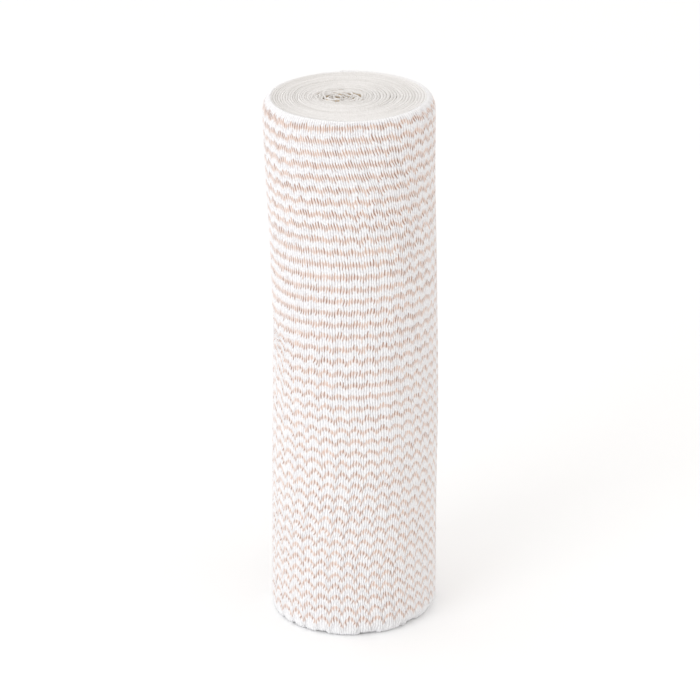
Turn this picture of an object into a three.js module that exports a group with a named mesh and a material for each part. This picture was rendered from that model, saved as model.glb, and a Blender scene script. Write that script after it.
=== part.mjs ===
import * as THREE from 'three';

// Main sizes of the roll, in millimetres
const ROLL_HEIGHT = 152.4;
const ROLL_RADIUS = 23.5;
const STRIP_THICKNESS = 0.75;

// Ribs of the cloth, which run up the wall
const RIB_COUNT = 208;
const RIB_DEPTH = 0.18;
const WALL_COLUMNS = 2 * RIB_COUNT;

// The rims and end faces have one column for every fourth column of the wall
const WALL_COLUMNS_PER_RIM_COLUMN = 4;
const RIM_COLUMNS = WALL_COLUMNS / WALL_COLUMNS_PER_RIM_COLUMN;

// The outer end of the strip lies at the back, its edge straight and upright
const OUTER_END_ANGLE = THREE.MathUtils.degToRad(96);
const FRONT_ANGLE = THREE.MathUtils.degToRad(-90);

// The wall at each height: how far its axis leans right, how far it is drawn in, how far the
// ribs have slid right at the front, and how deep the soft dent on the left is and where it starts
const WALL_LEVELS = [
  { z: 4.4, lean: 0.0, drawnIn: 0.0, slide: 6.8, dent: 0.0, dentStart: 226 },
  { z: 30, lean: 0.32, drawnIn: 0.04, slide: 6.8, dent: 0.0, dentStart: 226 },
  { z: 58, lean: 0.88, drawnIn: 0.18, slide: 6.8, dent: 0.05, dentStart: 226 },
  { z: 79, lean: 0.95, drawnIn: 0.33, slide: 7.7, dent: 0.12, dentStart: 225 },
  { z: 83, lean: 0.95, drawnIn: 0.35, slide: 8.6, dent: 0.5, dentStart: 223 },
  { z: 108, lean: 0.7, drawnIn: 0.36, slide: 8.4, dent: 0.3, dentStart: 207 },
  { z: 128, lean: 0.02, drawnIn: 0.32, slide: 3.9, dent: 0.1, dentStart: 194 },
  { z: 148.2, lean: -0.08, drawnIn: 0.1, slide: 0.3, dent: 0.0, dentStart: 190 },
];
const DENT_START_WIDTH = 9;
const DENT_FADE_FROM = 165;
const DENT_FADE_TO = 135;

// The round rims, from the wall inwards: height over the base, or under the top, and inset
const LOWER_RIM = [
  { z: 2.3, inset: 0.5 },
  { z: 0.8, inset: 1.5 },
  { z: 0, inset: 3.0 },
];
const UPPER_RIM = [
  { below: 1.9, inset: 0.7 },
  { below: 0.6, inset: 1.6 },
  { below: 0, inset: 2.7 },
  { below: 0.35, inset: 3.6 },
];

// The lower rim is rounder towards the right than towards the left
const LOWER_RIM_ROUNDER_AT = THREE.MathUtils.degToRad(-15);
const LOWER_RIM_ROUNDER_BY = 0.35;

// The main turns on the upper face: a spiral of ridges around a loose core left of the axis
const CORE_CENTRE = new THREE.Vector2(-2.8, 0.2);
const CORE_RADIUS = 2.4;
const CORE_BOTTOM_SHIFT = -0.7;
const TURN_PITCH = 2.5;
const TURN_RINGS = 12;
const TURN_WAVE = 0.12;
const TURN_WAVE_COUNT = 3;
const GROOVE_DEPTH = 0.6;
const CORE_GROOVE_DEPTH = 1.0;
const CORE_EDGE_RADIUS = 9;
const FACE_SHAPE = [
  { radius: 0, drop: 3.4 },
  { radius: 2.4, drop: 2.3 },
  { radius: 5, drop: 1.2 },
  { radius: 9, drop: 0.6 },
  { radius: 19, drop: 0.4 },
];

const CLOTH_COLOUR = new THREE.Color(0.93, 0.91, 0.89);

// Values between the rows of a table, read at one column
function readTable(table, key, at, column) {
  const last = table.length - 1;
  if (at <= table[0][key]) return table[0][column];
  for (let row = 0; row < last; row += 1) {
    const low = table[row];
    const high = table[row + 1];
    if (at <= high[key]) {
      const share = (at - low[key]) / (high[key] - low[key]);
      return THREE.MathUtils.lerp(low[column], high[column], share);
    }
  }
  return table[last][column];
}

// Angle around the roll of a share of one turn, counted from the outer end
function angleAt(turnShare) {
  return OUTER_END_ANGLE + turnShare * 2 * Math.PI;
}

// How far the ribs have moved around the roll at a height: most at the front, not at all at the back
function slideAngle(turnShare, z) {
  const frontShare = 0.5 + 0.5 * Math.cos(angleAt(turnShare) - FRONT_ANGLE);
  return (readTable(WALL_LEVELS, 'z', z, 'slide') / ROLL_RADIUS) * frontShare;
}

// Depth of the soft dent on the left of the wall
function dentAt(angle, z) {
  const degrees = THREE.MathUtils.euclideanModulo(THREE.MathUtils.radToDeg(angle), 360);
  const start = readTable(WALL_LEVELS, 'z', z, 'dentStart');
  const sinksIn = 1 - THREE.MathUtils.smoothstep(degrees, start - DENT_START_WIDTH, start);
  const fadesOut = THREE.MathUtils.smoothstep(degrees, DENT_FADE_TO, DENT_FADE_FROM);
  return readTable(WALL_LEVELS, 'z', z, 'dent') * sinksIn * fadesOut;
}

// A point of the wall or rim; the strip's outer turn moves out by its own thickness in one turn
function wallPoint(turnShare, z, inset) {
  const angle = angleAt(turnShare) + slideAngle(turnShare, z);
  const winding = STRIP_THICKNESS * (turnShare - 0.5);
  const drawnIn = readTable(WALL_LEVELS, 'z', z, 'drawnIn') + dentAt(angle, z);
  const radius = ROLL_RADIUS + winding - drawnIn - inset;
  const lean = readTable(WALL_LEVELS, 'z', z, 'lean');
  return new THREE.Vector3(lean + radius * Math.cos(angle), radius * Math.sin(angle), z);
}

// A closed shell, built up from rings of points that run anticlockwise seen from above
class Shell {
  constructor() {
    this.points = [];
    this.triangles = [];
  }

  addPoint(point) {
    this.points.push(point);
    return this.points.length - 1;
  }

  addRing(count, placePoint) {
    return Array.from({ length: count }, (_, column) => this.addPoint(placePoint(column)));
  }

  addTriangle(a, b, c) {
    this.triangles.push(a, b, c);
  }

  // Outward faces between two rings of the same count, the first one lower or further out
  joinRings(first, second) {
    for (let column = 0; column < first.length; column += 1) {
      const next = (column + 1) % first.length;
      this.addTriangle(first[column], first[next], second[next]);
      this.addTriangle(first[column], second[next], second[column]);
    }
  }

  // Faces from a fine ring to a coarse one; the coarse ring is second unless flipped
  joinFineToCoarse(fine, coarse, flipped) {
    const ratio = fine.length / coarse.length;
    const add = (a, b, c) => (flipped ? this.addTriangle(b, a, c) : this.addTriangle(a, b, c));
    for (let column = 0; column < coarse.length; column += 1) {
      const next = (column + 1) % coarse.length;
      for (let step = 0; step < ratio; step += 1) {
        const from = column * ratio + step;
        const to = (from + 1) % fine.length;
        add(fine[from], fine[to], step < ratio / 2 ? coarse[column] : coarse[next]);
      }
      add(fine[column * ratio + ratio / 2], coarse[next], coarse[column]);
    }
  }

  // Faces from a closed outline in to one point, or out from it when flipped
  joinToPoint(outline, point, flipped) {
    outline.forEach((corner, index) => {
      const next = outline[(index + 1) % outline.length];
      if (flipped) this.addTriangle(next, corner, point);
      else this.addTriangle(corner, next, point);
    });
  }

  toGeometry() {
    const geometry = new THREE.BufferGeometry().setFromPoints(this.points);
    geometry.setIndex(this.triangles);
    geometry.computeVertexNormals();
    return geometry;
  }
}

// The ribbed wall, as one ring for each level
function addWall(shell) {
  const rings = WALL_LEVELS.map((level) =>
    shell.addRing(WALL_COLUMNS, (column) => {
      const valley = column % 2 === 1;
      return wallPoint(column / WALL_COLUMNS, level.z, valley ? RIB_DEPTH : 0);
    }),
  );
  rings.slice(1).forEach((ring, index) => shell.joinRings(rings[index], ring));
  return { lowest: rings[0], highest: rings[rings.length - 1] };
}

// The lower rim curls in to the flat base on which the roll stands
function addLowerRimAndBase(shell, wallRing) {
  const rings = LOWER_RIM.map(({ z, inset }) =>
    shell.addRing(RIM_COLUMNS, (column) => {
      const share = column / RIM_COLUMNS;
      const rounder = 1 + LOWER_RIM_ROUNDER_BY * Math.cos(angleAt(share) - LOWER_RIM_ROUNDER_AT);
      return wallPoint(share, z, inset * rounder);
    }),
  );
  shell.joinFineToCoarse(wallRing, rings[0], true);
  rings.slice(1).forEach((ring, index) => shell.joinRings(ring, rings[index]));
  const baseCentre = shell.addPoint(new THREE.Vector3(0, 0, 0));
  shell.joinToPoint(rings[rings.length - 1], baseCentre, true);
}

// The upper rim, where the selvedge curls over to the end face
function addUpperRim(shell, wallRing) {
  const rings = UPPER_RIM.map(({ below, inset }) =>
    shell.addRing(RIM_COLUMNS, (column) => {
      return wallPoint(column / RIM_COLUMNS, ROLL_HEIGHT - below, inset);
    }),
  );
  shell.joinFineToCoarse(wallRing, rings[0], false);
  rings.slice(1).forEach((ring, index) => shell.joinRings(rings[index], ring));
  return rings[rings.length - 1];
}

// A point of the spiral on the upper face; even rings are grooves and odd rings are ridges
function spiralPoint(ring, turnShare) {
  const ringsOut = ring + 2 * turnShare;
  const wave = TURN_WAVE * Math.sin(TURN_WAVE_COUNT * angleAt(turnShare) + ringsOut / 2);
  const radius = CORE_RADIUS + (ringsOut * TURN_PITCH) / 2 + wave;
  const centring = 1 - radius / ROLL_RADIUS;
  const depth = radius < CORE_EDGE_RADIUS ? CORE_GROOVE_DEPTH : GROOVE_DEPTH;
  const groove = ring % 2 === 0 ? depth : 0;
  const drop = readTable(FACE_SHAPE, 'radius', radius, 'drop');
  return new THREE.Vector3(
    CORE_CENTRE.x * centring + radius * Math.cos(angleAt(turnShare)),
    CORE_CENTRE.y * centring + radius * Math.sin(angleAt(turnShare)),
    ROLL_HEIGHT - drop - groove,
  );
}

// The upper face: each ring of the spiral runs on, after one turn, as the ring two further out
function addSpiralFace(shell, rimRing) {
  const spiral = Array.from({ length: TURN_RINGS }, (_, ring) =>
    shell.addRing(RIM_COLUMNS, (column) => spiralPoint(ring, column / RIM_COLUMNS)),
  );
  const lastColumn = RIM_COLUMNS - 1;
  for (let inner = 0; inner < TURN_RINGS - 1; inner += 1) {
    const outer = inner + 1;
    for (let column = 0; column < RIM_COLUMNS; column += 1) {
      const atSeam = column === lastColumn;
      if (atSeam && outer + 2 >= TURN_RINGS) break;
      const innerNext = atSeam ? spiral[inner + 2][0] : spiral[inner][column + 1];
      const outerNext = atSeam ? spiral[outer + 2][0] : spiral[outer][column + 1];
      shell.addTriangle(spiral[outer][column], outerNext, innerNext);
      shell.addTriangle(spiral[outer][column], innerNext, spiral[inner][column]);
    }
  }

  const coreBottom = shell.addPoint(
    new THREE.Vector3(
      CORE_CENTRE.x + CORE_BOTTOM_SHIFT * Math.cos(OUTER_END_ANGLE + Math.PI / 2),
      CORE_CENTRE.y + CORE_BOTTOM_SHIFT * Math.sin(OUTER_END_ANGLE + Math.PI / 2),
      ROLL_HEIGHT - FACE_SHAPE[0].drop,
    ),
  );
  shell.joinToPoint([...spiral[0], spiral[2][0], spiral[1][0]], coreBottom, false);

  const outermost = spiral[TURN_RINGS - 1];
  for (let column = 0; column < lastColumn; column += 1) {
    shell.addTriangle(rimRing[column], rimRing[column + 1], outermost[column + 1]);
    shell.addTriangle(rimRing[column], outermost[column + 1], outermost[column]);
  }
  const seam = [outermost, spiral[TURN_RINGS - 2], spiral[TURN_RINGS - 3]].map(
    (ring) => ring[lastColumn],
  );
  shell.addTriangle(rimRing[lastColumn], rimRing[0], seam[0]);
  shell.addTriangle(seam[0], rimRing[0], seam[1]);
  shell.addTriangle(seam[1], rimRing[0], seam[2]);
  shell.addTriangle(seam[2], rimRing[0], outermost[0]);
}

// The whole roll is one body, centred over its own outline
function makeBandageRoll() {
  const shell = new Shell();
  const wall = addWall(shell);
  addLowerRimAndBase(shell, wall.lowest);
  addSpiralFace(shell, addUpperRim(shell, wall.highest));

  const geometry = shell.toGeometry();
  geometry.computeBoundingBox();
  const centre = geometry.boundingBox.getCenter(new THREE.Vector3());
  geometry.translate(-centre.x, -centre.y, 0);

  const cloth = new THREE.MeshStandardMaterial({
    color: CLOTH_COLOUR,
    roughness: 0.95,
    metalness: 0,
  });
  const roll = new THREE.Mesh(geometry, cloth);
  roll.name = 'bandage_roll';
  return roll;
}

const model = new THREE.Group();
model.add(makeBandageRoll());

export default model;
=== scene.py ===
import math

import bpy
import numpy as np
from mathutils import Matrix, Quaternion


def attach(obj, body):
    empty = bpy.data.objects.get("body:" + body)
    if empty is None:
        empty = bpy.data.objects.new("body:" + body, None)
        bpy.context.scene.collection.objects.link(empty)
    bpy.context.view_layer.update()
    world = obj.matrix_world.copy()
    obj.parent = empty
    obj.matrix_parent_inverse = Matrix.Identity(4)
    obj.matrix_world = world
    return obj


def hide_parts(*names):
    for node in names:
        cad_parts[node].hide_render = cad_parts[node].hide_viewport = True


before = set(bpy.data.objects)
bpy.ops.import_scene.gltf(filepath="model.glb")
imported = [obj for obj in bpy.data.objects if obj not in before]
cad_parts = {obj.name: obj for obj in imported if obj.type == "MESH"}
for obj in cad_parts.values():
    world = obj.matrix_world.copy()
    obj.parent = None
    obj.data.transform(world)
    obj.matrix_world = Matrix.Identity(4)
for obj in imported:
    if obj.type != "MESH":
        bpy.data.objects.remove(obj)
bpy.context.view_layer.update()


# The outer turn of the strip, the last turn of one elastic crepe strip that is 6 inches wide: white
# cotton ribs along the roll, crossed by tan elastic threads, and wound up anticlockwise on its
# inner end. It is a sheet wrapped once round, its edges curled in and its hem at the back.

# Sizes are in millimetres, and each mesh is scaled to metres as it is written
MM = 0.001
ROLL_HEIGHT = 152.4
ROLL_RADIUS = 23.5
STRIP_THICKNESS = 0.75
RIB_COUNT = 208
ARCH_COUNT = 38
RIB_PITCH = 2 * math.pi * ROLL_RADIUS / RIB_COUNT
OUTER_END_ANGLE = math.radians(96)
FRONT_ANGLE = math.radians(-90)

# The wall at each height, as in the solid that the pieces stand for
WALL_LEVELS = {
    "z": [4.4, 30, 58, 79, 83, 108, 128, 148.2],
    "lean": [0.0, 0.32, 0.88, 0.95, 0.95, 0.7, 0.02, -0.08],
    "drawn_in": [0.0, 0.1, 0.3, 0.5, 0.48, 0.45, 0.36, 0.1],
    "dent": [0.0, 0.0, 0.05, 0.12, 0.5, 0.3, 0.1, 0.0],
    "dent_start": [226, 226, 226, 225, 223, 207, 194, 190],
}
DENT_START_WIDTH = 9
DENT_FADE = (135, 165)
LEVEL_SMOOTHING = {"lean": 6, "drawn_in": 6, "dent": 1.5, "dent_start": 6}
SMOOTHING_REACH = 4
LEVEL_STEP = 0.25
LEVEL_MARGIN = 20

# The winding gets looser towards the core, which lies left of the axis and is pressed flat
ROLL_SHIFT = (-0.54, -0.19)
CORE_CENTRE = (-2.6, 1.1)
CENTRED_RADIUS = 21
CORE_EDGE_RADIUS = 9.5
CORE_LOOSE_RADIUS = 4.4
CORE_END_RADIUS = 0.8
CORE_TURN_PITCH = 0.9
CORE_CRUMPLING = {"spacing": 0.95, "size": 0.34, "seed": 34}
CORE_BUNCHING = {"spacing": 2.3, "size": 0.3, "seed": 39}
TURN_WAVING = {"spacing": 2.7, "size": 0.12, "seed": 10}
ROUND_WAVES = [
    {"size": 0.1, "waves": 3, "twist": 0.5, "full_at_radius": 6},
    {"size": 0.05, "waves": 7, "twist": -0.3, "full_at_radius": 9},
]
CORE_WIDENING = 0.12
CORE_FLATTENING = 0.08
ROUND_FROM_RADIUS = 15
ROUND_AT_RADIUS = 19.5
STEPS_PER_TURN = 400
WANDER_KNOTS = 997
SEAM_MERGE = 1e-7


def smooth_step(value, low, high):
    """0 up to low, 1 from high, and a soft rise between."""
    share = np.clip((value - low) / (high - low), 0, 1)
    return share * share * (3 - 2 * share)


def wander(at, spacing, size, seed):
    """Slow random unevenness along a line, soft between its knots."""
    knot_values = np.random.default_rng(seed).uniform(-size, size, WANDER_KNOTS)
    knot = np.floor(at / spacing).astype(int)
    share = smooth_step(at / spacing - knot, 0, 1)
    before = knot_values[knot % WANDER_KNOTS]
    after = knot_values[(knot + 1) % WANDER_KNOTS]
    return before * (1 - share) + after * share


def smooth_levels(key):
    """The wall's table in small steps of height, its corners rounded off."""
    heights = np.arange(-LEVEL_MARGIN, ROLL_HEIGHT + LEVEL_MARGIN, LEVEL_STEP)
    values = np.interp(heights, WALL_LEVELS["z"], WALL_LEVELS[key])
    reach = SMOOTHING_REACH * LEVEL_SMOOTHING[key]
    away = np.arange(-reach, reach + LEVEL_STEP, LEVEL_STEP)
    weights = np.exp(-0.5 * (away / LEVEL_SMOOTHING[key]) ** 2)
    padded = np.pad(values, len(weights) // 2, mode="edge")
    return heights, np.convolve(padded, weights / weights.sum(), "valid")


SMOOTH_WALL = {key: smooth_levels(key) for key in LEVEL_SMOOTHING}


def wall_at(key, z):
    return np.interp(z, *SMOOTH_WALL[key])


def bend_wall(x, y, z):
    """Leans the roll, draws its waist in and sinks the soft dent, for every turn alike."""
    degrees = np.degrees(np.arctan2(y, x)) % 360
    start = wall_at("dent_start", z)
    sinks_in = 1 - smooth_step(degrees, start - DENT_START_WIDTH, start)
    dent = wall_at("dent", z) * sinks_in * smooth_step(degrees, *DENT_FADE)
    keep = 1 - (wall_at("drawn_in", z) + dent) / ROLL_RADIUS
    x = x * keep + wall_at("lean", z) + ROLL_SHIFT[0]
    return np.stack([x, y * keep + ROLL_SHIFT[1], z + 0 * x], axis=-1)


def wind_up():
    """The strip's radius at each turn, counted down from 1 at the outer end into the core."""
    step = 1 / STEPS_PER_TURN
    turns = [1.0]
    radii = [ROLL_RADIUS + STRIP_THICKNESS / 2]
    while radii[-1] > CORE_END_RADIUS - CORE_TURN_PITCH:
        loose = 1 - smooth_step(radii[-1], CORE_LOOSE_RADIUS, CORE_EDGE_RADIUS)
        pitch = STRIP_THICKNESS + (CORE_TURN_PITCH - STRIP_THICKNESS) * loose
        turns.append(turns[-1] - step)
        radii.append(radii[-1] - pitch * step)
    return np.array(turns[::-1]), np.array(radii[::-1])


WOUND_TURNS, WOUND_RADII = wind_up()
WOUND_LENGTHS = np.cumsum(2 * math.pi * WOUND_RADII * np.gradient(WOUND_TURNS))
CORE_END_TURN = float(np.interp(CORE_END_RADIUS, WOUND_RADII, WOUND_TURNS))


def winding_line(turn):
    """Where the strip's outer face runs at a turn, seen from above, in an unbent roll."""
    radius = np.interp(turn, WOUND_TURNS, WOUND_RADII)
    angle = OUTER_END_ANGLE + 2 * math.pi * turn
    loose = 1 - smooth_step(radius, CORE_LOOSE_RADIUS, CORE_EDGE_RADIUS)
    unevenness = 0 * radius
    for wave in ROUND_WAVES:
        swing = np.sin(wave["waves"] * angle + wave["twist"] * radius)
        unevenness += wave["size"] * swing * smooth_step(radius, 0, wave["full_at_radius"])
    length = np.interp(turn, WOUND_TURNS, WOUND_LENGTHS)
    unevenness += loose * wander(length, **CORE_CRUMPLING)
    unevenness += loose * wander(length, **CORE_BUNCHING)
    unevenness += (1 - loose) * wander(length, **TURN_WAVING)
    reach = radius + unevenness * (1 - smooth_step(radius, ROUND_FROM_RADIUS, ROUND_AT_RADIUS))
    centring = np.clip(1 - radius / CENTRED_RADIUS, 0, 1)
    x = CORE_CENTRE[0] * centring + reach * (1 + CORE_WIDENING * loose) * np.cos(angle)
    y = CORE_CENTRE[1] * centring + reach * (1 - CORE_FLATTENING * loose) * np.sin(angle)
    return x, y, angle


def make_strip(name, points, ribs, rows, edge_row):
    """A closed strip of cloth. Each column of points goes once round the strip's section and
    ends where it began, and ribs and rows number the weave at each point."""
    columns, stations = points.shape[:2]
    bpy.ops.object.select_all(action="DESELECT")
    bpy.ops.mesh.primitive_grid_add(
        x_subdivisions=columns - 1, y_subdivisions=stations - 1, size=1
    )
    strip = bpy.context.object
    strip.name = name
    mesh = strip.data
    mesh.name = name
    flat = np.empty(len(mesh.vertices) * 3)
    mesh.vertices.foreach_get("co", flat)
    flat = flat.reshape(-1, 3)
    column = np.rint((flat[:, 0] + 0.5) * (columns - 1)).astype(int)
    station = np.rint((flat[:, 1] + 0.5) * (stations - 1)).astype(int)
    mesh.vertices.foreach_set("co", (points[column, station] * MM).ravel())

    weave = mesh.uv_layers.active
    weave.name = "weave"
    corner = np.empty(len(mesh.loops), dtype=int)
    mesh.loops.foreach_get("vertex_index", corner)
    place = np.stack([ribs[column, station][corner], rows[column, station][corner]], axis=-1)
    weave.uv.foreach_set("vector", place.ravel())

    seam = (station == 0) | (station == stations - 1)
    bpy.ops.object.mode_set(mode="EDIT")
    bpy.ops.mesh.select_mode(type="VERT")
    bpy.ops.mesh.select_all(action="DESELECT")
    bpy.ops.object.mode_set(mode="OBJECT")
    mesh.vertices.foreach_set("select", seam)
    bpy.ops.object.mode_set(mode="EDIT")
    bpy.ops.mesh.remove_doubles(threshold=SEAM_MERGE)
    bpy.ops.mesh.select_all(action="DESELECT")
    bpy.ops.mesh.select_non_manifold()
    bpy.ops.mesh.fill_holes(sides=0)
    bpy.ops.mesh.select_all(action="SELECT")
    bpy.ops.mesh.normals_make_consistent(inside=False)
    bpy.ops.object.mode_set(mode="OBJECT")
    bpy.ops.object.shade_smooth()

    for cap in [face for face in mesh.polygons if len(face.vertices) > 4]:
        for loop in cap.loop_indices:
            mesh.uv_layers["weave"].uv[loop].vector = (0.5, edge_row)
    return strip


# The cloth's pattern: the tan shows only as a dash in the groove between two ribs at each row
LAST_ROW = 42
# painted shade for the grooves, also the grey of the fibre fluff
PAINTED_GROOVE_SHADE_AND_FLUFF_GREY = (212, 207, 209)
# painted light for the curled upper selvedge
SELVEDGE_PAINTED_LIGHT = (254, 253, 253)
PALE_TAN = (217, 186, 168)
MIDDLE_TAN = (171, 134, 117)
DARK_TAN = (143, 112, 96)
THREAD_TAN = (213, 180, 160)
TAN_TINGE = (221, 190, 170)
EDGE_LIGHT = (239, 236, 234)
EDGE_SHADE = (227, 224, 221)
EDGE_NEAR_RIM = (250, 249, 248)
EDGE_SPECK = (205, 200, 192)
OUTER_YARN_WHITE = (243, 243, 244)

# Widths in the pattern are in ribs and heights in rows. A pair gives where something starts to
# show and where it shows in full, or how strong it is at those two places
NOISE_RANGE = (0.3, 0.7)
GROOVE_WAVERING = 0.3
PATTERN_END = (0.5, 0.45)
EDGE_START = (0.2, 0.1)
LOW_ROWS = (24, 14)
ABOVE_LOW_ROWS = (14, 24)
HIGH_ROWS = (22, 34)

# The tan dashes
DASH_SHIFT = 0.24
DASH_HALF_WIDTH = 0.15
DASH_WIDER_BY = 0.08
DASH_LENGTHENING_ROWS = (16, 34)
DASH_HALF_LENGTHS = (0.14, 0.22)
DASH_LONGER_BY = 0.15
DASH_SLANT_ROWS = (28, 35)
DASH_SLANTS = (0.6, -0.6)
DASH_LEAST_SLANT = 0.4
DASH_SIDES = (1.3, 0.5)
DASH_TIPS = (1.3, 0.6)
DASH_COVERS = (0.8, 0.92)
DASH_DARKENING = 0.9
DASH_PALER_LOW = 0.08
MIDDLE_TAN_STRENGTH = (-0.1, 0.6)
DARK_TAN_STRENGTH = (0.7, 1.15)

# The tan thread over the ribs
THREAD_SHIFT = 0.16
THREAD_SIDES = (0.2, 0.05)
THREAD_COVERS = (0.08, 0.48)
THREAD_MORE_LOW = 0.08
THREAD_MORE_HIGH = 0.07
TINGE_SIDES = (0.36, 0.05)
TINGE_COVER = 0.2

# The white yarn, the shade painted in its grooves and the light painted on its upper selvedge
GROOVE_SIDES = (0.3, 0.03)
GROOVE_SHADES = (0.15, 1.0)
UPPER_SHADE_ROWS = (LAST_ROW + 1.3, LAST_ROW + 0.4)
UPPER_SHADES = (0.3, 1.0)
LOWER_SHADE_ROWS = (-1.1, -0.3)
LOWER_SHADES = (0.25, 1.0)
FLUFF_RANGE = (0.38, 0.68)
FLUFF_SHADES = (0.3, 0.5)
# where and how strongly painted light whitens the upper selvedge
SELVEDGE_ROWS = (LAST_ROW + 0.2, LAST_ROW + 1.0)
SELVEDGE_COVER = 0.6
EDGE_TONE_RANGE = (0.35, 0.68)
NEAR_RIM_RIBS = (-700, -200)
EDGE_SPECK_RANGE = (0.45, 0.75)
EDGE_SPECK_COVER = 0.3

# The relief that is too fine for the mesh
CROSSINGS_PER_ROW = 9
CROSSING_HEIGHT = 0.014
RIB_ROUNDING = 0.42
EDGE_RELIEF = 0.5
FIBRE_HEIGHT = 0.1
EDGE_FIBRE_HEIGHT = 0.08


def seen(colour):
    """A colour as the eye sees it, 0 to 255, in a shader's linear values."""
    channels = [channel / 255 for channel in colour]
    linear = [c / 12.92 if c <= 0.04045 else ((c + 0.055) / 1.055) ** 2.4 for c in channels]
    return (*linear, 1)


def connect(tree, socket, value):
    if isinstance(value, bpy.types.NodeSocket):
        tree.links.new(value, socket)
    else:
        socket.default_value = value


def calculate(tree, operation, *values):
    node = tree.nodes.new("ShaderNodeMath")
    node.operation = operation
    for socket, value in zip(node.inputs, values):
        connect(tree, socket, value)
    return node.outputs[0]


def soft_range(tree, value, low, high, to_low=0.0, to_high=1.0):
    node = tree.nodes.new("ShaderNodeMapRange")
    node.interpolation_type = "SMOOTHSTEP"
    for name, number in zip(
        ("Value", "From Min", "From Max", "To Min", "To Max"), (value, low, high, to_low, to_high)
    ):
        connect(tree, node.inputs[name], number)
    return node.outputs[0]


def blend_colours(tree, share, first, second):
    node = tree.nodes.new("ShaderNodeMix")
    node.data_type = "RGBA"
    connect(tree, node.inputs["Factor"], share)
    connect(tree, node.inputs[6], first)
    connect(tree, node.inputs[7], second)
    return node.outputs[2]


def point_of(tree, x, y, z=0.0):
    node = tree.nodes.new("ShaderNodeCombineXYZ")
    for socket, value in zip(node.inputs, (x, y, z)):
        connect(tree, socket, value)
    return node.outputs[0]


def noise_at(tree, point, scale=1.0, detail=2.0):
    node = tree.nodes.new("ShaderNodeTexNoise")
    connect(tree, node.inputs["Vector"], point)
    node.inputs["Scale"].default_value = scale
    node.inputs["Detail"].default_value = detail
    return node.outputs["Fac"]


def random_at(tree, point):
    node = tree.nodes.new("ShaderNodeTexWhiteNoise")
    node.noise_dimensions = "3D"
    connect(tree, node.inputs["Vector"], point)
    parts = tree.nodes.new("ShaderNodeSeparateColor")
    tree.links.new(node.outputs["Color"], parts.inputs[0])
    return parts.outputs


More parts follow.
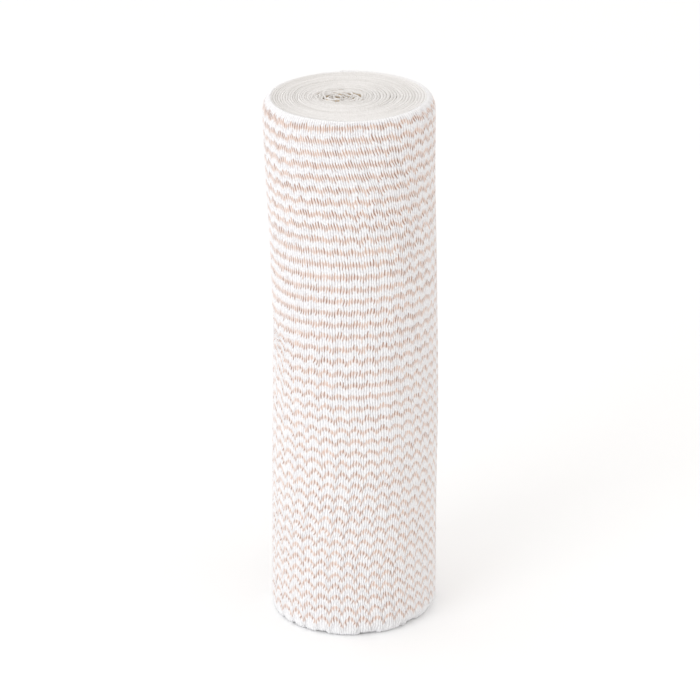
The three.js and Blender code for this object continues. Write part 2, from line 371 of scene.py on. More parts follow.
def make_crepe_cloth(name, rib_height, yarn_colour, plain_edges):
    """White ribs, painted shade in the grooves and tan dashes from the weave's own numbering."""
    material = bpy.data.materials.new(name)
    material.use_nodes = True
    tree = material.node_tree
    shader = tree.nodes["Principled BSDF"]
    weave = tree.nodes.new("ShaderNodeUVMap")
    weave.uv_map = "weave"
    parts = tree.nodes.new("ShaderNodeSeparateXYZ")
    tree.links.new(weave.outputs[0], parts.inputs[0])
    rib, row = parts.outputs[0], parts.outputs[1]

    def times(first, second):
        return calculate(tree, "MULTIPLY", first, second)

    def plus(first, second):
        return calculate(tree, "ADD", first, second)

    def minus(first, second):
        return calculate(tree, "SUBTRACT", first, second)

    def distance(first, second):
        return calculate(tree, "ABSOLUTE", minus(first, second))

    def share_of(value, ends, to_ends=(0.0, 1.0)):
        return soft_range(tree, value, *ends, *to_ends)

    def weave_noise(across, along, layer=0.0, **kind):
        return noise_at(tree, point_of(tree, times(rib, across), times(row, along), layer), **kind)

    # ribs waver a little to either side
    waver = weave_noise(across=0.9, along=1.3)
    wavering = plus(rib, times(minus(waver, 0.5), GROOVE_WAVERING))
    groove = calculate(tree, "ROUND", wavering)
    from_groove = distance(wavering, groove)
    outside, inside = PATTERN_END
    woven = minus(1, plus(
        soft_range(tree, row, -inside, -outside),
        soft_range(tree, row, LAST_ROW + inside, LAST_ROW + outside),
    ))
    inside, outside = EDGE_START
    edge = plus(
        soft_range(tree, row, LOWEST_ROW + inside, LOWEST_ROW + outside, 0.0, plain_edges),
        soft_range(tree, row, HIGHEST_ROW - inside, HIGHEST_ROW - outside, 0.0, plain_edges),
    )
    ribbed = minus(1, edge)

    # a tan dash in each groove at each row, each of its own length, width and darkness
    nearest_row = calculate(tree, "ROUND", row)
    chance = random_at(tree, point_of(tree, groove, nearest_row, 0.5))
    from_row = distance(row, plus(nearest_row, times(minus(chance[0], 0.5), DASH_SHIFT)))
    half_width = plus(times(chance[0], DASH_WIDER_BY), DASH_HALF_WIDTH)
    half_length = share_of(row, DASH_LENGTHENING_ROWS, DASH_HALF_LENGTHS)
    half_length = plus(times(chance[1], DASH_LONGER_BY), half_length)
    slant = share_of(row, DASH_SLANT_ROWS, DASH_SLANTS)
    slant = times(slant, plus(chance[1], DASH_LEAST_SLANT))
    slanted = times(minus(row, nearest_row), slant)
    from_dash = distance(minus(wavering, groove), slanted)
    across = share_of(calculate(tree, "DIVIDE", from_dash, half_width), DASH_SIDES)
    along = share_of(calculate(tree, "DIVIDE", from_row, half_length), DASH_TIPS)
    dash = times(times(across, along), woven)

    # the tan thread itself runs on over the ribs, fainter and patchy
    patch = weave_noise(across=0.11, along=0.9, scale=0.6)
    thread_shift = weave_noise(across=1.1, along=1.0, layer=7.0)
    from_thread = distance(row, plus(nearest_row, times(minus(thread_shift, 0.5), THREAD_SHIFT)))
    thread = share_of(from_thread, THREAD_SIDES)
    thread_break = weave_noise(across=2.3, along=1.7, layer=4.0)
    thread_cover = share_of(thread_break, NOISE_RANGE, THREAD_COVERS)
    thread_cover = plus(thread_cover, share_of(row, LOW_ROWS, (0.0, THREAD_MORE_LOW)))
    thread_cover = plus(thread_cover, share_of(row, HIGH_ROWS, (0.0, THREAD_MORE_HIGH)))
    thread = times(times(thread, thread_cover), woven)
    tinge = times(share_of(from_thread, TINGE_SIDES, (0.0, TINGE_COVER)), woven)

    strength = plus(times(chance[2], DASH_DARKENING), minus(patch, 0.5))
    strength = minus(strength, share_of(row, LOW_ROWS, (0.0, DASH_PALER_LOW)))
    medium = share_of(strength, MIDDLE_TAN_STRENGTH)
    tan = blend_colours(tree, medium, seen(PALE_TAN), seen(MIDDLE_TAN))
    dark = share_of(strength, DARK_TAN_STRENGTH)
    tan = blend_colours(tree, dark, tan, seen(DARK_TAN))

    # the white yarn, with painted shade in the grooves that is weaker near both selvedges, and grey
    # fibre fluff
    fibres = weave_noise(across=2.6, along=4.6, detail=4.0)
    shade_noise = noise_at(tree, point_of(tree, groove, row, 3.0), scale=1.3)
    shade = share_of(from_groove, GROOVE_SIDES)
    shade = times(shade, share_of(shade_noise, NOISE_RANGE, GROOVE_SHADES))
    shade = times(shade, share_of(row, UPPER_SHADE_ROWS, UPPER_SHADES))
    shade = times(shade, share_of(row, LOWER_SHADE_ROWS, LOWER_SHADES))
    fluff = times(share_of(fibres, FLUFF_RANGE), share_of(row, ABOVE_LOW_ROWS, FLUFF_SHADES))
    shade = plus(times(shade, ribbed), fluff)
    white = blend_colours(tree, shade, yarn_colour, seen(PAINTED_GROOVE_SHADE_AND_FLUFF_GREY))
    # painted light: the outer turn's upper selvedge is whitened beyond the yarn's own white to lift
    # the curl's shading
    selvedge = share_of(row, SELVEDGE_ROWS, (0.0, SELVEDGE_COVER * (1 - plain_edges)))
    white = blend_colours(tree, selvedge, white, seen(SELVEDGE_PAINTED_LIGHT))
    edge_tone = weave_noise(across=0.023, along=0.2, detail=3.0)
    edge_tone = share_of(edge_tone, EDGE_TONE_RANGE)
    edge_white = blend_colours(tree, edge_tone, seen(EDGE_LIGHT), seen(EDGE_SHADE))
    near_rim = share_of(rib, NEAR_RIM_RIBS)
    edge_white = blend_colours(tree, near_rim, edge_white, seen(EDGE_NEAR_RIM))
    edge_speck = share_of(fibres, EDGE_SPECK_RANGE, (0.0, EDGE_SPECK_COVER))
    edge_white = blend_colours(tree, edge_speck, edge_white, seen(EDGE_SPECK))
    white = blend_colours(tree, edge, white, edge_white)
    white = blend_colours(tree, tinge, white, seen(TAN_TINGE))
    colour = blend_colours(tree, thread, white, seen(THREAD_TAN))
    cover = times(dash, share_of(row, ABOVE_LOW_ROWS, DASH_COVERS))
    colour = blend_colours(tree, cover, colour, tan)
    tree.links.new(colour, shader.inputs["Base Color"])

    # round ribs, fine threads that pass over and under, and fibres
    crossing = times(row, 2 * math.pi * CROSSINGS_PER_ROW)
    crossing = plus(crossing, times(calculate(tree, "FLOOR", rib), math.pi))
    crossing = times(calculate(tree, "SINE", crossing), CROSSING_HEIGHT)
    rib_round = times(share_of(from_groove, (0.0, RIB_ROUNDING)), rib_height)
    relief = plus(times(ribbed, 1 - EDGE_RELIEF), EDGE_RELIEF)
    height = times(plus(rib_round, crossing), relief)
    height = plus(height, times(fibres, plus(times(edge, EDGE_FIBRE_HEIGHT), FIBRE_HEIGHT)))
    bump = tree.nodes.new("ShaderNodeBump")
    bump.inputs["Strength"].default_value = 1.0
    bump.inputs["Distance"].default_value = MM
    tree.links.new(height, bump.inputs["Height"])
    tree.links.new(bump.outputs[0], shader.inputs["Normal"])
    shader.inputs["Roughness"].default_value = 0.93
    shader.inputs["Specular IOR Level"].default_value = 0.25
    shader.inputs["Sheen Weight"].default_value = 0.2
    shader.inputs["Sheen Roughness"].default_value = 0.5
    return material


# The selvedges have no tan rows and curl in over both ends of the roll
FIRST_ROW_HEIGHT = 5.2
LAST_ROW_HEIGHT = 150.2
LOWER_CURL = (2.0, 4.2)
UPPER_CURL = (2.7, 4.2)
LOWER_CURL_TIP = (3.6, 0.12)
UPPER_CURL_REACH = 2.3
LOWER_CURL_ROUNDER_AT = math.radians(-15)
LOWER_CURL_ROUNDER_BY = 0.6
CURL_POINTS = 40
SLOPE_REACH = 0.3

# The turn runs on a little under its own end, with three columns of points a rib
OUTER_TURN_OVERLAP = 0.03
OUTER_TURN_THICKNESS = 0.66
COLUMN_PHASES = [0, 0.27, 0.73]
COLUMNS_PER_RIB = len(COLUMN_PHASES)
STATIONS_PER_ROW = 3
ROWS_STEP = 1 / STATIONS_PER_ROW
LOWER_CURL_STATIONS = 8
UPPER_CURL_STATIONS = 6
INNER_FACE_HEIGHTS = [150, 128, 108, 83, 79, 58, 30, 4]

# The ribs differ in size, fade out in the curled selvedges and bunch up at the foot
WEAVE_START_ROW = -0.3
RIBS_START = 0.4
RIBS_END = 0.5
RIB_DEPTH = 0.27
RIB_SIZES = (0.75, 1.25)
RIB_SIZE_SEED = 11
DEPTH_BETWEEN_ROWS = 0.9
DEEPER_AT_ROWS = 0.25
RIDGE_SINK_AT_ROWS = 0.09
SMALL_RIB_SINK = 0.05
FOOT_NOTCH = 0.55
FOOT_NOTCH_ROWS = (0.5, 1.3)
FOOT_BUNCHING = (0.05, 0.65)
WALL_WAVES = [
    {"size": 0.07, "waves": 2, "height": 14, "start": 0},
    {"size": 0.06, "waves": 5, "height": -9, "start": 1},
]

# The hem at the outer end is turned in and stitched flat, so it stands a little proud
HEM_WIDTH = 7
HEM_RAISE = 0.36
HEM_SLOPE = 1.2
HEM_EDGE_ROUNDING = 0.2
STRAIGHT_END_RIBS = 2

# The tight threads draw each row into arches and gather the ribs beside them
ARCH_SKEW = 0.86
ARCH_POINTEDNESS = 0.4
GATHER_OVER_ROW = [1.0, 0.2, -0.7]
LEAST_GATHER = 0.06
GATHER_PER_RISE = 0.09

# Soft unevenness over the weave: how much, and how far apart its knots are in ribs and rows
ARCH_UNEVENNESS = {"size": 0.22, "ribs_apart": 4, "rows_apart": 1, "seed": 21}
ARCH_WANDERING = {"size": 0.45, "ribs_apart": 6, "rows_apart": 1.3, "seed": 22}
ROW_UNEVENNESS = {"size": 0.22, "ribs_apart": 1.3, "rows_apart": 0.8, "seed": 23}
RIB_WAVERING = {"size": 0.16, "ribs_apart": 2.5, "rows_apart": 2, "seed": 24}
FOOT_PATCHES = {"size": 1, "ribs_apart": 1.7, "rows_apart": 4, "seed": 25}
PATCH_KNOTS = (331, 337)
PATCH_START = 40

# How high the arches are, how far the ribs slant sideways and how far the rows are shifted
# upwards: a line for each height over the base, a number for each angle from the front
ARCH_RISES = {
    "angles": [-180, -90, -45, -15, 0, 15, 45, 90, 180],
    12: [2.4, 2.4, 2.4, 2.4, 2.4, 2.4, 2.3, 2.4, 2.4],
    47: [2.2, 2.2, 2.2, 2.2, 2.1, 2.1, 2.1, 2.2, 2.2],
    61: [2.0, 2.0, 1.8, 1.7, 1.4, 1.2, 2.1, 2.0, 2.0],
    75: [1.8, 1.6, 1.6, 1.2, 0.7, 0.5, 1.7, 1.8, 1.8],
    88: [1.7, 1.3, 0.8, 1.3, 1.4, 1.3, 1.2, 1.5, 1.6],
    96: [1.6, 0.6, 0.2, 0.4, 0.6, 1.1, 1.2, 1.5, 1.6],
    110: [1.6, 0.4, 0.1, 0.4, 0.5, 0.5, 1.7, 1.6, 1.6],
    124: [1.5, 0.9, 0.7, 0.8, 1.5, 1.4, 1.4, 1.5, 1.5],
    132: [1.4, 1.0, 1.0, 0.6, 0.8, 0.9, 1.3, 1.4, 1.4],
    138: [1.4, 1.2, 0.9, 0.2, 0.1, 0.5, 1.4, 1.4, 1.4],
    147: [1.3, 1.0, 0.9, 0.2, 0.3, 0.2, 1.5, 1.4, 1.3],
}
RIB_SLIDES = {
    "angles": [-150, -35, 5, 45, 150],
    6: [0, 6.2, 6.0, 5.0, 0],
    15: [0, 6.0, 5.3, 4.3, 0],
    22: [0, 6.0, 5.3, 4.3, 0],
    30: [0, 6.3, 6.3, 5.3, 0],
    40: [0, 7.2, 7.1, 6.1, 0],
    50: [0, 8.0, 7.9, 6.9, 0],
    60: [0, 7.5, 8.2, 7.2, 0],
    75: [0, 6.7, 7.7, 6.6, 0],
    90: [0, 7.1, 8.1, 7.3, 0],
    110: [0, 7.4, 9.0, 9.3, 0],
    120: [0, 6.9, 8.1, 8.9, 0],
    132: [0, 5.5, 6.4, 7.3, 0],
    140: [0, 4.0, 4.0, 6.2, 0],
    148: [0, 2.7, 2.1, 5.5, 0],
}
ROW_SHIFTS = {
    "angles": [-120, -50, -20, 5, 50, 120],
    6: [0, -0.8, -0.4, -0.1, 0.1, 0],
    20: [0, -0.2, -0.2, 0.0, -0.2, 0],
    40: [0, -0.5, -0.3, -0.1, -0.5, 0],
    55: [0, -0.3, -0.4, -0.1, -0.4, 0],
    65: [0, -0.9, -0.7, -0.5, -0.4, 0],
    80: [0, -1.5, -1.0, -0.8, -0.5, 0],
    95: [0, -1.1, -0.3, 0.0, -0.4, 0],
    105: [0, -0.9, -0.3, -0.2, -0.3, 0],
    120: [0, -0.7, 0.1, 0.3, 0.0, 0],
    132: [0, -0.7, 0.2, 0.6, 0.4, 0],
    148: [0, -0.8, 0.2, 1.0, 0.4, 0],
}

# Under the dent the rows climb towards the left side, and over it they sink
CLIMB = {"z": [44, 58, 70, 79, 84, 88, 94, 104], "rise": [0, 3.0, 4.6, 4.6, 2.0, -1.2, -1.4, 0]}
CLIMB_ANGLES = (50, 74)
CLIMB_FADE = (88, 125)

# Grooves that gape a little where a thread has drawn tight: angle from the front and heights
GAPING_GROOVES = [
    {"angle": -29, "from": 87, "to": 126, "depth": 0.16},
    {"angle": 33, "from": 128, "to": 146, "depth": 0.14},
]
GAPING_WIDTH = 1.2
GAPING_TAPER = 8


def outer_path():
    """The outer face's section from the lower curl's tip to the upper one's: inset and height."""
    quarter = np.linspace(0, math.pi / 2, CURL_POINTS)
    lower = np.stack(
        [LOWER_CURL[0] * (1 - np.sin(quarter)), LOWER_CURL[1] * (1 - np.cos(quarter))], axis=-1
    )
    quarter = np.linspace(0, math.acos(1 - UPPER_CURL_REACH / UPPER_CURL[0]), CURL_POINTS)
    upper_inset = UPPER_CURL[0] * (1 - np.cos(quarter))
    upper_height = ROLL_HEIGHT - UPPER_CURL[1] * (1 - np.sin(quarter))
    path = np.concatenate([[LOWER_CURL_TIP], lower, np.stack([upper_inset, upper_height], axis=-1)])
    steps = np.hypot(*np.diff(path, axis=0).T)
    return path, np.concatenate([[0], np.cumsum(steps)])


PATH, PATH_LENGTHS = outer_path()
ROW_ZERO_LENGTH = float(np.interp(FIRST_ROW_HEIGHT, PATH[1:, 1], PATH_LENGTHS[1:]))
LAST_ROW_LENGTH = float(np.interp(LAST_ROW_HEIGHT, PATH[1:, 1], PATH_LENGTHS[1:]))
ROW_PITCH = (LAST_ROW_LENGTH - ROW_ZERO_LENGTH) / LAST_ROW
LOWEST_ROW = -ROW_ZERO_LENGTH / ROW_PITCH
HIGHEST_ROW = (PATH_LENGTHS[-1] - ROW_ZERO_LENGTH) / ROW_PITCH


def path_at(length):
    """Inset, height and inward normal of the outer face at lengths along its section."""
    inset = np.interp(length, PATH_LENGTHS, PATH[:, 0])
    height = np.interp(length, PATH_LENGTHS, PATH[:, 1])
    ahead = np.clip(length + SLOPE_REACH, 0, PATH_LENGTHS[-1])
    behind = np.clip(length - SLOPE_REACH, 0, PATH_LENGTHS[-1])
    run_inset, run_height = [
        np.interp(ahead, PATH_LENGTHS, values) - np.interp(behind, PATH_LENGTHS, values)
        for values in PATH.T
    ]
    size = np.hypot(run_inset, run_height)
    return inset, height, run_height / size, -run_inset / size


def across_wall(table, degrees, z):
    """A table's number at angles from the front and heights over the base, blended between."""
    heights = [height for height in table if height != "angles"]
    by_height = np.stack([np.interp(degrees, table["angles"], table[height]) for height in heights])
    place = np.interp(z, heights, np.arange(len(heights)))
    low = np.minimum(place.astype(int), len(heights) - 2)
    below = np.take_along_axis(by_height, low[None], axis=0)[0]
    above = np.take_along_axis(by_height, low[None] + 1, axis=0)[0]
    return below + (above - below) * (place - low)


def patches(rib, row, size, ribs_apart, rows_apart, seed):
    """Soft random unevenness over the weave, with its own value at each patch."""
    knots = np.random.default_rng(seed).uniform(-1, 1, PATCH_KNOTS)
    knots_across, knots_along = PATCH_KNOTS
    across = rib / ribs_apart + PATCH_START
    along = row / rows_apart + PATCH_START
    left = np.floor(across).astype(int)
    lower = np.floor(along).astype(int)
    share = smooth_step(across - left, 0, 1)
    rise = smooth_step(along - lower, 0, 1)
    right = (left + 1) % knots_across
    left = left % knots_across
    upper = (lower + 1) % knots_along
    lower = lower % knots_along
    low = knots[left, lower] * (1 - share) + knots[right, lower] * share
    high = knots[left, upper] * (1 - share) + knots[right, upper] * share
    return size * (low * (1 - rise) + high * rise)


def make_outer_turn():
    # points up the outer face and down the inner one, numbered across in ribs and up in rows
    columns = round(RIB_COUNT * COLUMNS_PER_RIB * (1 + OUTER_TURN_OVERLAP)) + 1
    first_rib = -round(RIB_COUNT * OUTER_TURN_OVERLAP)
    whole_ribs, phase = np.divmod(np.arange(columns), COLUMNS_PER_RIB)
    rib = (first_rib + whole_ribs + np.array(COLUMN_PHASES)[phase])[:, None]

    dash_rows = np.arange(-1, LAST_ROW / ROWS_STEP + 2) * ROWS_STEP
    lower_rows = np.linspace(LOWEST_ROW, dash_rows[0], LOWER_CURL_STATIONS)[:-1]
    upper_rows = np.linspace(dash_rows[-1], HIGHEST_ROW, UPPER_CURL_STATIONS)[1:]
    outer_rows = np.concatenate([lower_rows, dash_rows, upper_rows])
    path_rows = (PATH_LENGTHS[1:] - ROW_ZERO_LENGTH) / ROW_PITCH
    inner_rows = np.interp(INNER_FACE_HEIGHTS, PATH[1:, 1], path_rows)
    rows = np.concatenate([outer_rows, [HIGHEST_ROW], inner_rows, [LOWEST_ROW], outer_rows[:1]])
    depth_share = np.concatenate([0 * outer_rows, [1], 1 + 0 * inner_rows, [1], [0]])

    # the ribs slide round the roll, and the rows rise and fall in arches
    turn = rib / RIB_COUNT
    row = rows[None, :] + 0 * rib
    length = ROW_ZERO_LENGTH + row * ROW_PITCH
    z_flat = np.interp(length, PATH_LENGTHS, PATH[:, 1])
    angle = OUTER_END_ANGLE + 2 * math.pi * turn + 0 * row
    in_weave = smooth_step(row, LOWEST_ROW, WEAVE_START_ROW)
    in_weave *= 1 - smooth_step(row, LAST_ROW, HIGHEST_ROW)
    ribbed = smooth_step(row, LOWEST_ROW, LOWEST_ROW + RIBS_START)
    ribbed *= 1 - smooth_step(row, LAST_ROW + RIBS_END, HIGHEST_ROW)
    on_outside = (1 - depth_share)[None, :]
    degrees = (np.degrees(angle - FRONT_ANGLE) + 180) % 360 - 180
    slide = across_wall(RIB_SLIDES, degrees, z_flat)
    degrees = degrees + np.degrees(slide / ROLL_RADIUS)
    rise = across_wall(ARCH_RISES, degrees, z_flat)
    rise *= 1 + patches(rib, row, **ARCH_UNEVENNESS)
    arch_share = (rib + patches(rib, row, **ARCH_WANDERING)) * ARCH_COUNT / RIB_COUNT
    arch_share = (arch_share - np.floor(arch_share)) ** ARCH_SKEW
    round_arch = np.abs(np.sin(math.pi * arch_share)) - 2 / math.pi
    pointed_arch = 0.5 - np.abs(2 * arch_share - 1)
    arch = round_arch + (pointed_arch - round_arch) * ARCH_POINTEDNESS
    climb = np.interp(z_flat, CLIMB["z"], CLIMB["rise"]) * smooth_step(-degrees, *CLIMB_ANGLES)
    climb *= 1 - smooth_step(-degrees, *CLIMB_FADE)
    shift = climb + across_wall(ROW_SHIFTS, degrees, z_flat)
    shift += patches(rib, row, **ROW_UNEVENNESS)
    length = length + (rise * arch + shift) * in_weave * on_outside
    inset, z, normal_inset, normal_z = path_at(np.clip(length, 0, PATH_LENGTHS[-1]))

    # the grooves and ridges, the notches at the foot and the slow waves of the wall
    row_share = np.rint((row / ROWS_STEP) % (1 / ROWS_STEP)).astype(int) % STATIONS_PER_ROW
    valley = (phase == 0)[:, None]
    at_row = row_share == 0
    random = np.random.default_rng(RIB_SIZE_SEED)
    rib_number = np.floor(rib[:, 0]).astype(int) - first_rib
    rib_size = random.uniform(*RIB_SIZES, (rib_number.max() + 1, len(rows)))
    rib_size = rib_size[rib_number]
    groove_depth = RIB_DEPTH * (DEPTH_BETWEEN_ROWS + DEEPER_AT_ROWS * at_row) * rib_size
    ridge_sink = RIDGE_SINK_AT_ROWS * at_row + SMALL_RIB_SINK * (1 - rib_size)
    sink = np.where(valley, groove_depth, ridge_sink) * ribbed
    bunched = smooth_step(patches(rib, row, **FOOT_PATCHES), *FOOT_BUNCHING)
    sink = sink + FOOT_NOTCH * bunched * smooth_step(-row, *FOOT_NOTCH_ROWS)
    for groove in GAPING_GROOVES:
        near = np.exp(-(((degrees - groove["angle"]) / GAPING_WIDTH) ** 2))
        tall = smooth_step(z, groove["from"], groove["from"] + GAPING_TAPER)
        tall *= 1 - smooth_step(z, groove["to"] - GAPING_TAPER, groove["to"])
        sink = sink + groove["depth"] * near * tall * valley
    sink = sink * on_outside
    for wave in WALL_WAVES:
        swing = np.sin(wave["waves"] * angle + z / wave["height"] + wave["start"])
        sink = sink + wave["size"] * swing

    # the hem
    to_outer_end = (RIB_COUNT - rib) * RIB_PITCH
    hem = 1 - smooth_step(to_outer_end, HEM_WIDTH - HEM_SLOPE, HEM_WIDTH)
    depth = OUTER_TURN_THICKNESS * depth_share + sink - HEM_RAISE * hem * on_outside * in_weave
    depth += HEM_EDGE_ROUNDING * (rib >= RIB_COUNT) * (1 - 2 * depth_share)
    inset = inset + depth * normal_inset
    z = z + depth * normal_z

    # the lower curl, rounder on one side, and the ribs drawn sideways by the threads
    rounder = 1 + LOWER_CURL_ROUNDER_BY * np.cos(angle - LOWER_CURL_ROUNDER_AT)
    rounded = np.minimum(inset, LOWER_CURL[0]) * rounder + np.maximum(inset - LOWER_CURL[0], 0)
    inset = np.where(z < LOWER_CURL[1], rounded, inset)
    gather = np.choose(row_share, GATHER_OVER_ROW) * in_weave * on_outside
    gather_size = -(LEAST_GATHER + GATHER_PER_RISE * rise)
    gather = gather_size * np.sin(2 * math.pi * rib * ARCH_COUNT / RIB_COUNT) * gather
    waver = patches(rib, row, **RIB_WAVERING) * on_outside
    sideways = slide + (gather + waver) * (rib < RIB_COUNT - STRAIGHT_END_RIBS)
    x, y, bearing = winding_line(turn + sideways / (2 * math.pi * ROLL_RADIUS))
    x = x - inset * np.cos(bearing)
    y = y - inset * np.sin(bearing)
    points = bend_wall(x, y, np.maximum(z, LOWER_CURL_TIP[1]))
    return make_strip("outer_turn", points, rib + 0 * row, row, HIGHEST_ROW)


outer_turn = make_outer_turn()
ribbed_cloth = make_crepe_cloth(
    "ribbed crepe cloth", rib_height=0.04, yarn_colour=seen(OUTER_YARN_WHITE), plain_edges=0.0
)
outer_turn.data.materials.append(ribbed_cloth)
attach(outer_turn, "root")
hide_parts("bandage_roll")


# The wound turns under the outer one
# The rest of the same strip, about thirty turns whose edges make up both ends of the roll.
# They stand a little higher and lower than each other and open out in the loose, flattened core.
WOUND_START = -OUTER_TURN_OVERLAP - 0.004
TURN_GAP_SHARE = 0.985
EDGE_ROUNDING = 0.26
WOUND_THICKNESS = 0.9
CORE_THICKNESS = 0.38
CORE_THIN_RADII = (2.4, 7.0)
LONGEST_STEP = 1.3
CORE_STEP = 0.45
STEP_RADII = (8, 13)
TOP_SUNK = 0.1
TOP_WANDERING = [
    {"spacing": 0.31, "size": 0.08, "seed": 1},
    {"spacing": 0.083, "size": 0.03, "seed": 2},
    {"spacing": 1.7, "size": 0.1, "seed": 3},
]
LEVELLED_RADII = (14, 19)
LEVELLED_BY = 0.6
CORE_TOP_WANDERING = {"spacing": 1.5, "size": 0.5, "seed": 8}
TOP_RIPPLE = {"spacing": 1.4, "size": 0.05, "seed": 12}
BOTTOM_HEIGHT = 0.22
BOTTOM_WANDERING = [
    {"spacing": 0.29, "size": 0.11, "seed": 5},
    {"spacing": 1.3, "size": 0.1, "seed": 6},
]
CURL_TIP_MARGIN = 0.2
CURL_GAP = 0.12
UPPER_FACE = {"radius": [0, 2.4, 5, 9, 14, 20, 24], "drop": [0.6, 0.5, 0.4, 0.3, 0.2, 0.1, 0.0]}
BEAD_ANGLES = np.radians([0, 30, 60, 90, 120, 150, 180])
WALL_STATIONS = [146, 138, 122, 106, 83, 79, 58, 30, 6]
# the wound turns' sides: more tan than the outer yarn where their tan threads lie close, and
# darkened as painted shade so the gaps between turns look brown
INNER_TAN_AND_GAP_SHADE_COLOUR = (206, 178, 128)


def wound_columns():
    """Turns at which the strip gets a column of points: closer together near the core."""
    turns = [WOUND_START]
    while turns[-1] > CORE_END_TURN:
        radius = max(float(np.interp(turns[-1], WOUND_TURNS, WOUND_RADII)), 1.0)
        step = CORE_STEP + (LONGEST_STEP - CORE_STEP) * smooth_step(radius, *STEP_RADII)
        turns.append(turns[-1] - step / radius / (2 * math.pi))
    return np.array(turns)[:, None]


def make_wound_turns():
    # each turn fills the room up to the next one, and is thinner in the core
    turn = wound_columns()
    outer_x, outer_y, bearing = winding_line(turn)
    next_x, next_y, _ = winding_line(turn - 1)
    room = np.hypot(next_x - outer_x, next_y - outer_y)
    radius = np.interp(turn, WOUND_TURNS, WOUND_RADII)
    loose = 1 - smooth_step(radius, CORE_LOOSE_RADIUS, CORE_EDGE_RADIUS)
    thin = 1 - smooth_step(radius, *CORE_THIN_RADII)
    thickness = WOUND_THICKNESS + (CORE_THICKNESS - WOUND_THICKNESS) * thin
    share = np.minimum(TURN_GAP_SHARE, thickness / room)

    # the upper edges, which pass under the outer turn's curl
    inset = ROLL_RADIUS + STRIP_THICKNESS * (turn % 1 - 0.5) - radius
    across = np.clip((UPPER_CURL[0] - inset) / (UPPER_CURL[0] - OUTER_TURN_THICKNESS), 0, 1)
    under_upper = (UPPER_CURL[1] - OUTER_TURN_THICKNESS) * np.sqrt(1 - across ** 2)
    under_upper += ROLL_HEIGHT - UPPER_CURL[1]
    drop = np.interp(radius, UPPER_FACE["radius"], UPPER_FACE["drop"])
    unevenness = sum(wander(turn, **wandering) for wandering in TOP_WANDERING)
    unevenness *= 1 - LEVELLED_BY * smooth_step(radius, *LEVELLED_RADII)
    length = np.interp(turn, WOUND_TURNS, WOUND_LENGTHS)
    unevenness += loose * wander(length, **CORE_TOP_WANDERING)
    unevenness += wander(length, **TOP_RIPPLE)
    top = ROLL_HEIGHT - drop - TOP_SUNK + unevenness
    under_tip = inset < UPPER_CURL_REACH - CURL_TIP_MARGIN
    top = np.where(under_tip, np.minimum(top, under_upper - CURL_GAP), top)

    # the lower edges, which stay above the lower curl
    rounder = 1 + LOWER_CURL_ROUNDER_BY * np.cos(bearing - LOWER_CURL_ROUNDER_AT)
    lower_inset = LOWER_CURL[0] * rounder
    across = np.clip((lower_inset - inset) / (lower_inset - OUTER_TURN_THICKNESS), 0, 1)
    over_lower = LOWER_CURL[1] - (LOWER_CURL[1] - OUTER_TURN_THICKNESS) * np.sqrt(1 - across ** 2)
    bottom = BOTTOM_HEIGHT
    for wandering in BOTTOM_WANDERING:
        bottom = bottom + wander(turn, **wandering)
    over_tip = inset < lower_inset + LOWER_CURL_TIP[0] - LOWER_CURL[0]
    bottom = np.where(over_tip, np.maximum(bottom, over_lower + CURL_GAP), bottom)

    # once round the strip's section, with a rounded bead for each selvedge
    top_across = share * (1 - np.cos(BEAD_ANGLES)) / 2
    top_z = top - EDGE_ROUNDING + EDGE_ROUNDING * np.sin(BEAD_ANGLES)
    bottom_across = share * (1 + np.cos(BEAD_ANGLES)) / 2
    bottom_z = bottom + EDGE_ROUNDING - EDGE_ROUNDING * np.sin(BEAD_ANGLES)
    stations_down = np.array(WALL_STATIONS)[None, :] + 0 * turn
    stations_up = stations_down[:, ::-1]
    across = np.concatenate(
        [top_across, share + 0 * stations_down, bottom_across, 0 * stations_up, 0 * turn], axis=1
    )
    z = np.concatenate([top_z, stations_down, bottom_z, stations_up, top_z[:, :1]], axis=1)
    x = outer_x + (next_x - outer_x) * across
    y = outer_y + (next_y - outer_y) * across
    points = bend_wall(x, y, z)

    # the weave's numbers follow the strip's own length
    run = np.hypot(np.diff(outer_x[:, 0]), np.diff(outer_y[:, 0]))
    rib = WOUND_START * RIB_COUNT - np.concatenate([[0], np.cumsum(run)])[:, None] / RIB_PITCH
    row = LOWEST_ROW + (z - bottom) / (top - bottom) * (HIGHEST_ROW - LOWEST_ROW)
    strip = make_strip("wound_turns", points, rib + 0 * row, row, HIGHEST_ROW)
    return strip, float(run.sum())


wound_turns, wound_length = make_wound_turns()
# its yarn colour also carries the painted shade in the gaps between turns
wound_cloth = make_crepe_cloth(
    "wound crepe cloth", rib_height=0.1, yarn_colour=seen(INNER_TAN_AND_GAP_SHADE_COLOUR), plain_edges=1.0
)
wound_turns.data.materials.append(wound_cloth)
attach(wound_turns, "root")
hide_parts("bandage_roll")


# The pale table that the roll stands on
# A wide matt sheet of pale card, not part of the roll.
CARD_WIDTH = 8
CARD_WHITE = (253, 253, 253)
bpy.ops.object.select_all(action="DESELECT")
bpy.ops.mesh.primitive_plane_add(size=CARD_WIDTH, location=(0, 0, 0))
table_top = bpy.context.object
table_top.name = "table_top"
card = bpy.data.materials.new("pale card")
card.use_nodes = True
card_shader = card.node_tree.nodes["Principled BSDF"]
card_shader.inputs["Base Color"].default_value = seen(CARD_WHITE)
card_shader.inputs["Roughness"].default_value = 0.95
table_top.data.materials.append(card)


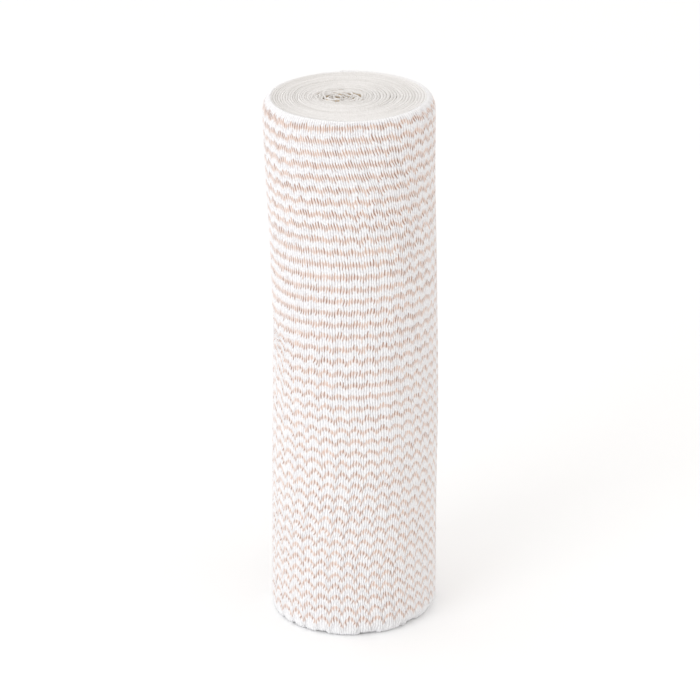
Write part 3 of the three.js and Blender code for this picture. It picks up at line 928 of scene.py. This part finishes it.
# Soft studio light
# A broad soft light from the front left, a weak warm one from the right and a pale surround.
SOFT_LIGHTS = [
    {"name": "key_light", "place": (-1.1, -1.2, 0.55), "size": 0.9, "power": 7.6, "warmth": -0.3},
    {"name": "fill_light", "place": (1.3, -0.4, 0.4), "size": 0.8, "power": 0.8, "warmth": 1.0},
]
WARM_LIGHT_LACKS = {"green": 0.12, "blue": 0.25}
AIM_HEIGHT = 0.076
SURROUND_COLOUR = (1, 0.99, 0.98, 1)
SURROUND_STRENGTH = 0.99
for each in SOFT_LIGHTS:
    lamp_data = bpy.data.lights.new(each["name"], "AREA")
    lamp_data.size = each["size"]
    lamp_data.energy = each["power"]
    green = 1 - WARM_LIGHT_LACKS["green"] * each["warmth"]
    blue = 1 - WARM_LIGHT_LACKS["blue"] * each["warmth"]
    lamp_data.color = (1, green, blue)
    lamp = bpy.data.objects.new(each["name"], lamp_data)
    bpy.context.collection.objects.link(lamp)
    lamp.location = each["place"]
    aim = -lamp.location
    aim.z += AIM_HEIGHT
    lamp.rotation_euler = aim.to_track_quat("-Z", "Y").to_euler()
world = bpy.data.worlds.new("pale surround")
world.use_nodes = True
background = world.node_tree.nodes["Background"]
background.inputs["Color"].default_value = SURROUND_COLOUR
background.inputs["Strength"].default_value = SURROUND_STRENGTH
bpy.context.scene.world = world
bpy.context.scene.view_settings.view_transform = "Standard"


# The camera
# It stands 0.81 m in front of the roll and looks 23 degrees down, rolled by half a degree.
CAMERA_PLACE = (-0.00078, -0.81, 0.425)
CAMERA_PITCH = math.radians(23.2)
CAMERA_ROLL = math.radians(-0.545)
CAMERA_LENS = 163.05
SENSOR_WIDTH = 36
FARTHEST_SEEN = 20
camera_data = bpy.data.cameras.new("camera")
camera_data.lens = CAMERA_LENS
camera_data.sensor_width = SENSOR_WIDTH
camera_data.clip_end = FARTHEST_SEEN
camera = bpy.data.objects.new("camera", camera_data)
bpy.context.collection.objects.link(camera)
camera.location = CAMERA_PLACE
camera.rotation_mode = "QUATERNION"
tilt = Quaternion((1, 0, 0), math.pi / 2 - CAMERA_PITCH)
camera.rotation_quaternion = tilt @ Quaternion((0, 0, 1), CAMERA_ROLL)
bpy.context.scene.camera = camera
